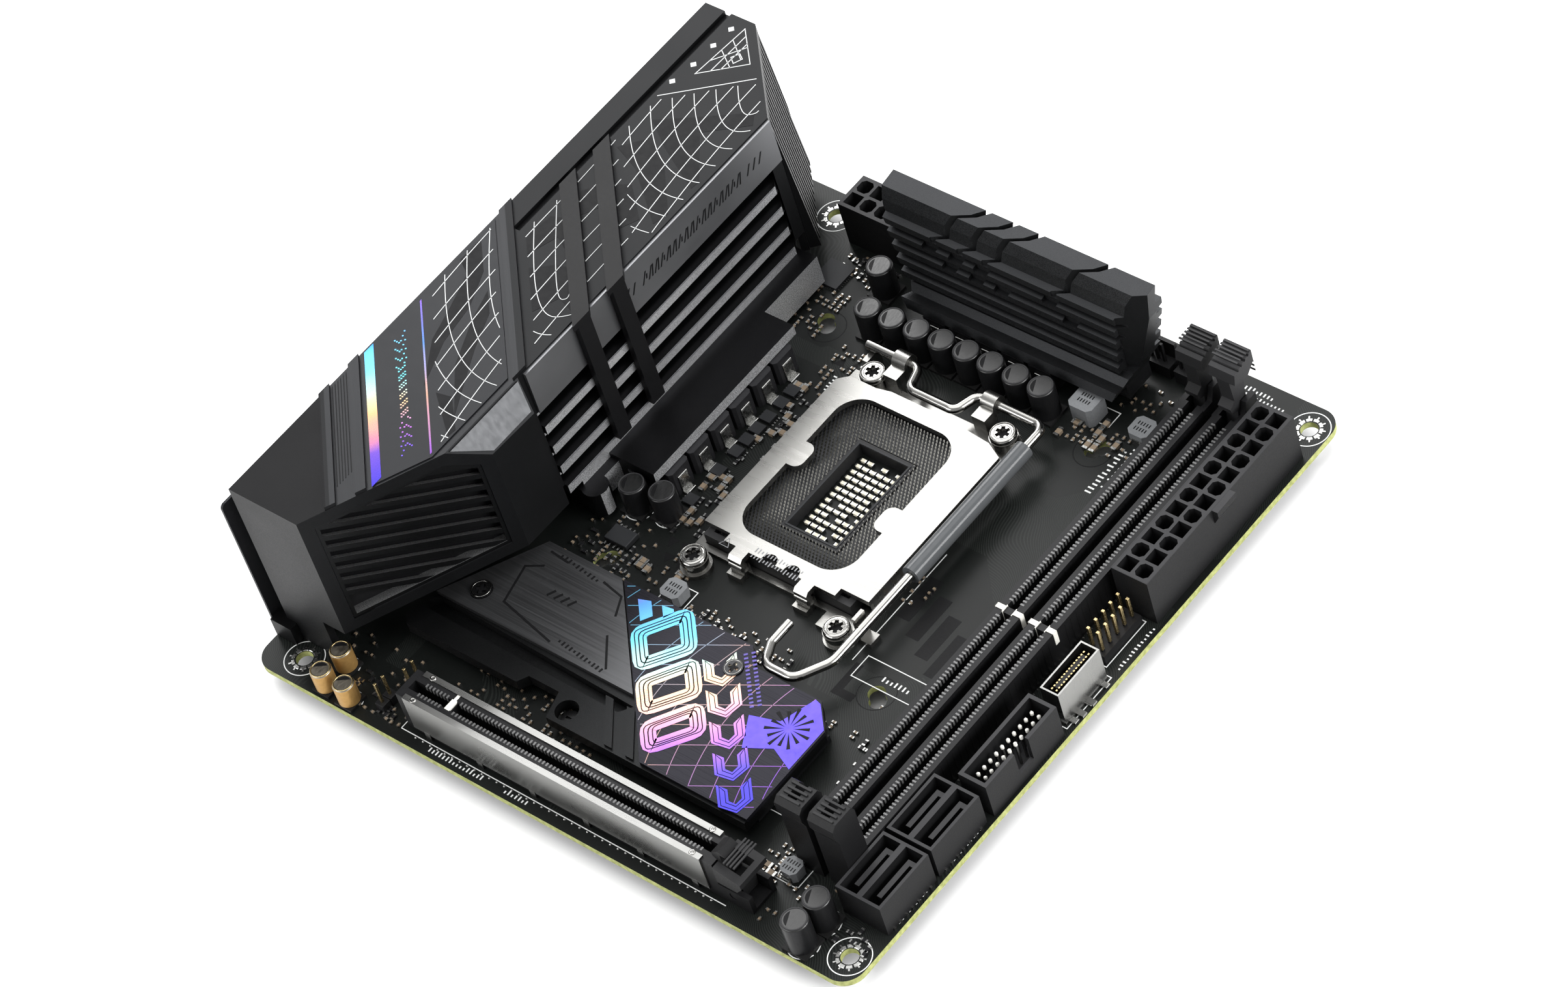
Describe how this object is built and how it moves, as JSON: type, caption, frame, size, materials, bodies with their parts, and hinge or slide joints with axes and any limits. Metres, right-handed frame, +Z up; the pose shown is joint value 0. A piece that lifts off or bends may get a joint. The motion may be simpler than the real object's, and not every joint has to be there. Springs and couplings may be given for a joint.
{
  "type": "computer motherboard",
  "caption": "Small square motherboard with a lever-locked processor socket, latched memory slots, steel-cased expansion slot, finned heatsinks and a tall cover over its rear sockets.",
  "frame": {"origin": "centre of the rear standoff hole beside the expansion slot, on the board's underside", "axes": "+X from the rear sockets to the front edge, +Y from the expansion slot to the processor power socket, +Z up out of the component side"},
  "size_m": [0.1794, 0.17, 0.0563],
  "materials": {
    "board_black": "semi-gloss solder mask over glass-fibre laminate",
    "black_plastic": "fine matte moulded plastic",
    "contacts_gold": "bright gold-plated contacts",
    "plate_steel": "satin stamped stainless steel",
    "wire_steel": "polished steel wire and screws",
    "clear_sleeve": "smoky clear tubing",
    "tin": "tin-plated pins and cans",
    "cover_black": "dark brushed and satin cover",
    "cover_grey": "grey anodised accent",
    "label_print": "printed gloss inlay",
    "sink_black": "black anodised, blasted with bright cut edges",
    "choke_grey": "pressed iron-powder block",
    "inductor_grey": "grey pressed powder block",
    "pad_blue": "soft thermal pad",
    "cap_black": "black can with bright top edge",
    "cap_gold": "gold can",
    "chip": "moulded chip package",
    "shield_dark": "dark printed rear shield",
    "bars_black": "glossy black bars",
    "button_white": "light button"
  },
  "bodies": {
    "board": {"audio_capacitors": "cap_gold", "audio_sockets": "black_plastic", "board_capacitors": "cap_black", "chipset": "chip", "circuit_board": "board_black", "clock_battery": "tin", "control_chips": "chip", "cover_badge": "cover_grey", "cover_band": "cover_grey", "cover_bars": "bars_black", "cover_label": "label_print", "display_sockets": "tin", "drive_cover_plate": "cover_black", "drive_heatsink_base": "sink_black", "drive_heatsink_screws": "wire_steel", "drive_port_a": "black_plastic", "drive_port_b": "black_plastic", "drive_print_plate": "label_print", "drive_sockets": "black_plastic", "expansion_slot": "black_plastic", "expansion_slot_shell": "tin", "fan_headers": "black_plastic", "flash_switch": "black_plastic", "front_panel_header": "black_plastic", "heatsink_screws": "wire_steel", "louvre_grille": "cover_grey", "main_power_socket": "black_plastic", "memory_slot_a": "black_plastic", "memory_slot_b": "black_plastic", "network_socket": "tin", "power_chokes": "choke_grey", "power_inductors": "inductor_grey", "power_pins": "tin", "power_stages": "chip", "processor_power_socket": "black_plastic", "rear_cover": "cover_black", "rear_heatsink": "sink_black", "rear_shield": "shield_dark", "side_heatsink": "sink_black", "socket_backplate": "plate_steel", "socket_body": "black_plastic", "socket_contacts": "contacts_gold", "socket_frame": "plate_steel", "socket_screws": "wire_steel", "thermal_pads": "pad_blue", "usb_c_header_core": "black_plastic", "usb_c_header_shell": "tin", "usb_c_socket": "tin", "usb_header": "black_plastic", "usb_header_pins": "tin", "usb_sockets": "tin", "wireless_module": "contacts_gold"},
    "lever": {"load_lever": "wire_steel", "lever_sleeve": "clear_sleeve"},
    "load_plate": {"load_plate": "plate_steel"},
    "memory_latch_a": {"memory_latch_a": "black_plastic"},
    "memory_latch_b": {"memory_latch_b": "black_plastic"},
    "expansion_latch": {"expansion_slot_latch": "black_plastic"},
    "flash_button": {"flash_button": "button_white"}
  },
  "joints": [
    {"name": "lever_swing", "type": "hinge", "parent": "board", "child": "lever", "pos_m": [0.07984, 0.12725, 0.0074], "axis": [-1, 0, 0], "range_deg": [0, 110]},
    {"name": "load_plate_lift", "type": "hinge", "parent": "board", "child": "load_plate", "pos_m": [0.08004, 0.06585, 0.0048], "axis": [1, 0, 0], "range_deg": [0, 100]},
    {"name": "memory_latch_a_tilt", "type": "hinge", "parent": "board", "child": "memory_latch_a", "pos_m": [0.13444, 0.14905, 0.005], "axis": [-1, 0, 0], "range_deg": [0, 20]},
    {"name": "memory_latch_b_tilt", "type": "hinge", "parent": "board", "child": "memory_latch_b", "pos_m": [0.14324, 0.14905, 0.005], "axis": [-1, 0, 0], "range_deg": [0, 20]},
    {"name": "expansion_latch_tilt", "type": "hinge", "parent": "board", "child": "expansion_latch", "pos_m": [0.12624, 0.00165, 0.0046], "axis": [0, 1, 0], "range_deg": [0, 22]},
    {"name": "flash_button_press", "type": "slide", "parent": "board", "child": "flash_button", "axis": [1, 0, 0], "range_m": [0, 0.0006], "stiffness_N_per_m": 400, "springref_m": -0.001}
  ]
}
